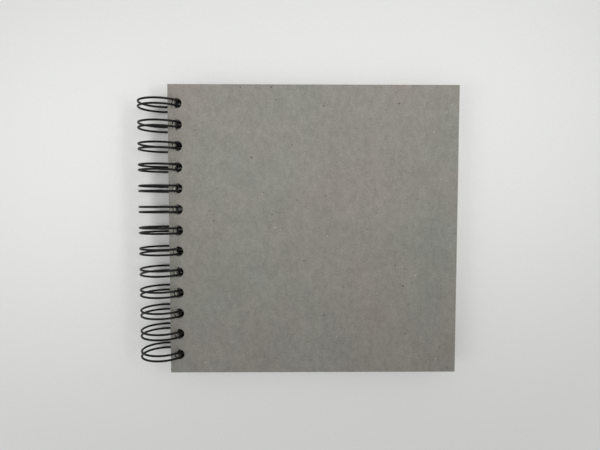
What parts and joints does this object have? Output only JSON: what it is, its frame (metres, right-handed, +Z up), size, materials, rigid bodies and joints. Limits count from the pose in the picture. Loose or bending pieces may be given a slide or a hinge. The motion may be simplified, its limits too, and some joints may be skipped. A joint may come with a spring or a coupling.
{
  "type": "twin-loop wire-bound sketchbook",
  "caption": "Square sketchbook with plain grey board covers and heavy drawing leaves, punched along one side and bound by a black twin-loop wire; covers and leaves turn on the loops.",
  "frame": {"origin": "middle of the footprint, at the height of the loops' lowest points, which is the surface that the book lies on", "axes": "+X from the wire binding to the fore edge, +Y along the binding to the head of the book, +Z up through the front cover"},
  "size_m": [0.1944, 0.175, 0.0274],
  "materials": {
    "greyboard": "matt, fine fibre mottle with dark and light flecks",
    "drawing_paper": "matt, slightly toothed, off-white",
    "black_wire": "satin black nylon coating on steel wire"
  },
  "bodies": {
    "back_cover_and_wire": {"back_cover": "greyboard", "twin_loop_wire": "black_wire"},
    "leaf_24": {"leaf_24": "drawing_paper"},
    "leaf_23": {"leaf_23": "drawing_paper"},
    "leaf_22": {"leaf_22": "drawing_paper"},
    "leaf_21": {"leaf_21": "drawing_paper"},
    "leaf_20": {"leaf_20": "drawing_paper"},
    "leaf_19": {"leaf_19": "drawing_paper"},
    "leaf_18": {"leaf_18": "drawing_paper"},
    "leaf_17": {"leaf_17": "drawing_paper"},
    "leaf_16": {"leaf_16": "drawing_paper"},
    "leaf_15": {"leaf_15": "drawing_paper"},
    "leaf_14": {"leaf_14": "drawing_paper"},
    "leaf_13": {"leaf_13": "drawing_paper"},
    "leaf_12": {"leaf_12": "drawing_paper"},
    "leaf_11": {"leaf_11": "drawing_paper"},
    "leaf_10": {"leaf_10": "drawing_paper"},
    "leaf_09": {"leaf_09": "drawing_paper"},
    "leaf_08": {"leaf_08": "drawing_paper"},
    "leaf_07": {"leaf_07": "drawing_paper"},
    "leaf_06": {"leaf_06": "drawing_paper"},
    "leaf_05": {"leaf_05": "drawing_paper"},
    "leaf_04": {"leaf_04": "drawing_paper"},
    "leaf_03": {"leaf_03": "drawing_paper"},
    "leaf_02": {"leaf_02": "drawing_paper"},
    "leaf_01": {"leaf_01": "drawing_paper"},
    "front_cover": {"front_cover": "greyboard"}
  },
  "joints": [
    {"name": "leaf_24_turn", "type": "hinge", "parent": "back_cover_and_wire", "child": "leaf_24", "pos_m": [-0.08351, 0, 0.01368], "axis": [0, -1, 0], "range_deg": [0, 180]},
    {"name": "leaf_23_turn", "type": "hinge", "parent": "leaf_24", "child": "leaf_23", "pos_m": [-0.08351, 0, 0.01368], "axis": [0, -1, 0], "range_deg": [0, 180]},
    {"name": "leaf_22_turn", "type": "hinge", "parent": "leaf_23", "child": "leaf_22", "pos_m": [-0.08351, 0, 0.01368], "axis": [0, -1, 0], "range_deg": [0, 180]},
    {"name": "leaf_21_turn", "type": "hinge", "parent": "leaf_22", "child": "leaf_21", "pos_m": [-0.08351, 0, 0.01368], "axis": [0, -1, 0], "range_deg": [0, 180]},
    {"name": "leaf_20_turn", "type": "hinge", "parent": "leaf_21", "child": "leaf_20", "pos_m": [-0.08351, 0, 0.01368], "axis": [0, -1, 0], "range_deg": [0, 180]},
    {"name": "leaf_19_turn", "type": "hinge", "parent": "leaf_20", "child": "leaf_19", "pos_m": [-0.08351, 0, 0.01368], "axis": [0, -1, 0], "range_deg": [0, 180]},
    {"name": "leaf_18_turn", "type": "hinge", "parent": "leaf_19", "child": "leaf_18", "pos_m": [-0.08351, 0, 0.01368], "axis": [0, -1, 0], "range_deg": [0, 180]},
    {"name": "leaf_17_turn", "type": "hinge", "parent": "leaf_18", "child": "leaf_17", "pos_m": [-0.08351, 0, 0.01368], "axis": [0, -1, 0], "range_deg": [0, 180]},
    {"name": "leaf_16_turn", "type": "hinge", "parent": "leaf_17", "child": "leaf_16", "pos_m": [-0.08351, 0, 0.01368], "axis": [0, -1, 0], "range_deg": [0, 180]},
    {"name": "leaf_15_turn", "type": "hinge", "parent": "leaf_16", "child": "leaf_15", "pos_m": [-0.08351, 0, 0.01368], "axis": [0, -1, 0], "range_deg": [0, 180]},
    {"name": "leaf_14_turn", "type": "hinge", "parent": "leaf_15", "child": "leaf_14", "pos_m": [-0.08351, 0, 0.01368], "axis": [0, -1, 0], "range_deg": [0, 180]},
    {"name": "leaf_13_turn", "type": "hinge", "parent": "leaf_14", "child": "leaf_13", "pos_m": [-0.08351, 0, 0.01368], "axis": [0, -1, 0], "range_deg": [0, 180]},
    {"name": "leaf_12_turn", "type": "hinge", "parent": "leaf_13", "child": "leaf_12", "pos_m": [-0.08351, 0, 0.01368], "axis": [0, -1, 0], "range_deg": [0, 180]},
    {"name": "leaf_11_turn", "type": "hinge", "parent": "leaf_12", "child": "leaf_11", "pos_m": [-0.08351, 0, 0.01368], "axis": [0, -1, 0], "range_deg": [0, 180]},
    {"name": "leaf_10_turn", "type": "hinge", "parent": "leaf_11", "child": "leaf_10", "pos_m": [-0.08351, 0, 0.01368], "axis": [0, -1, 0], "range_deg": [0, 180]},
    {"name": "leaf_09_turn", "type": "hinge", "parent": "leaf_10", "child": "leaf_09", "pos_m": [-0.08351, 0, 0.01368], "axis": [0, -1, 0], "range_deg": [0, 180]},
    {"name": "leaf_08_turn", "type": "hinge", "parent": "leaf_09", "child": "leaf_08", "pos_m": [-0.08351, 0, 0.01368], "axis": [0, -1, 0], "range_deg": [0, 180]},
    {"name": "leaf_07_turn", "type": "hinge", "parent": "leaf_08", "child": "leaf_07", "pos_m": [-0.08351, 0, 0.01368], "axis": [0, -1, 0], "range_deg": [0, 180]},
    {"name": "leaf_06_turn", "type": "hinge", "parent": "leaf_07", "child": "leaf_06", "pos_m": [-0.08351, 0, 0.01368], "axis": [0, -1, 0], "range_deg": [0, 180]},
    {"name": "leaf_05_turn", "type": "hinge", "parent": "leaf_06", "child": "leaf_05", "pos_m": [-0.08351, 0, 0.01368], "axis": [0, -1, 0], "range_deg": [0, 180]},
    {"name": "leaf_04_turn", "type": "hinge", "parent": "leaf_05", "child": "leaf_04", "pos_m": [-0.08351, 0, 0.01368], "axis": [0, -1, 0], "range_deg": [0, 180]},
    {"name": "leaf_03_turn", "type": "hinge", "parent": "leaf_04", "child": "leaf_03", "pos_m": [-0.08351, 0, 0.01368], "axis": [0, -1, 0], "range_deg": [0, 180]},
    {"name": "leaf_02_turn", "type": "hinge", "parent": "leaf_03", "child": "leaf_02", "pos_m": [-0.08351, 0, 0.01368], "axis": [0, -1, 0], "range_deg": [0, 180]},
    {"name": "leaf_01_turn", "type": "hinge", "parent": "leaf_02", "child": "leaf_01", "pos_m": [-0.08351, 0, 0.01368], "axis": [0, -1, 0], "range_deg": [0, 180]},
    {"name": "front_cover_turn", "type": "hinge", "parent": "leaf_01", "child": "front_cover", "pos_m": [-0.08351, 0, 0.01368], "axis": [0, -1, 0], "range_deg": [0, 180]}
  ]
}
